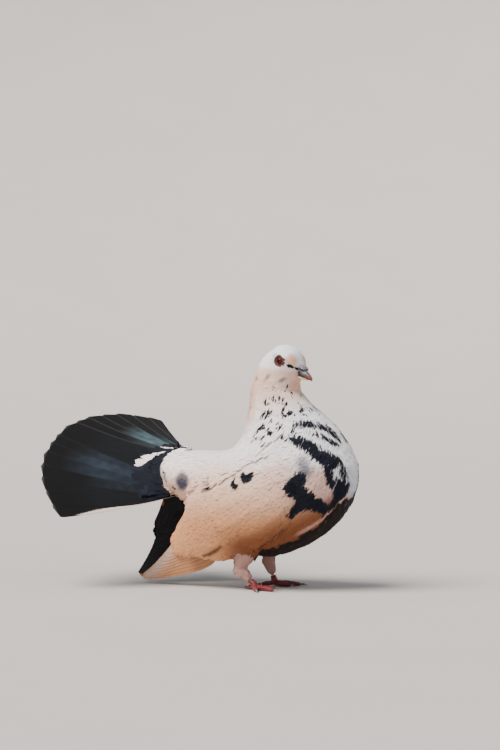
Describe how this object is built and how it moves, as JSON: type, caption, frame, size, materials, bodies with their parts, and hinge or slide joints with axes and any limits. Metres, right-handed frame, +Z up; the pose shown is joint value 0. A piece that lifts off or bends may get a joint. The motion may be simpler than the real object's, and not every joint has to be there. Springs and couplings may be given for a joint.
{
  "type": "pigeon",
  "caption": "Life-size pied domestic pigeon, standing, with the tail raised and fanned, the wings lowered and the head turned a little to its right.",
  "frame": {"origin": "middle of the bird's footprint box, on the floor", "axes": "+X forward along the body, +Y to the bird's left, +Z up"},
  "size_m": [0.308, 0.2002, 0.2274],
  "materials": {
    "plumage_white": "white feathers with a warm cast",
    "plumage_black": "black feathers with a cool sheen",
    "bill": "dark horn",
    "bill_pale": "pale horn",
    "cere": "powdery white wattle",
    "eye": "wet, orange-red iris round a black pupil",
    "eyelid": "bare, folded skin",
    "foot_skin": "red, scaled skin",
    "claw": "pale horn"
  },
  "bodies": {
    "root": {"head": "plumage_white", "neck": "plumage_white", "trunk": "plumage_white", "eye_right": "eye", "eyelid_right": "eyelid", "eye_left": "eye", "eyelid_left": "eyelid", "bill_upper": "bill", "bill_lower": "bill_pale", "cere": "cere", "tail": "plumage_black", "tail_coverts_upper": "plumage_white", "tail_coverts_under": "plumage_black", "wing_right_shoulder": "plumage_white", "wing_right_secondaries": "plumage_white", "wing_right_primaries": "plumage_white", "wing_left_shoulder": "plumage_black", "wing_left_secondaries": "plumage_black", "wing_left_primaries": "plumage_black", "thigh_right": "plumage_white", "shank_right": "plumage_white", "foot_right": "foot_skin", "claw_right_inner": "claw", "claw_right_middle": "claw", "claw_right_outer": "claw", "claw_right_hind": "claw", "thigh_left": "plumage_white", "shank_left": "plumage_white", "foot_left": "foot_skin", "claw_left_inner": "claw", "claw_left_middle": "claw", "claw_left_outer": "claw", "claw_left_hind": "claw"}
  },
  "joints": []
}
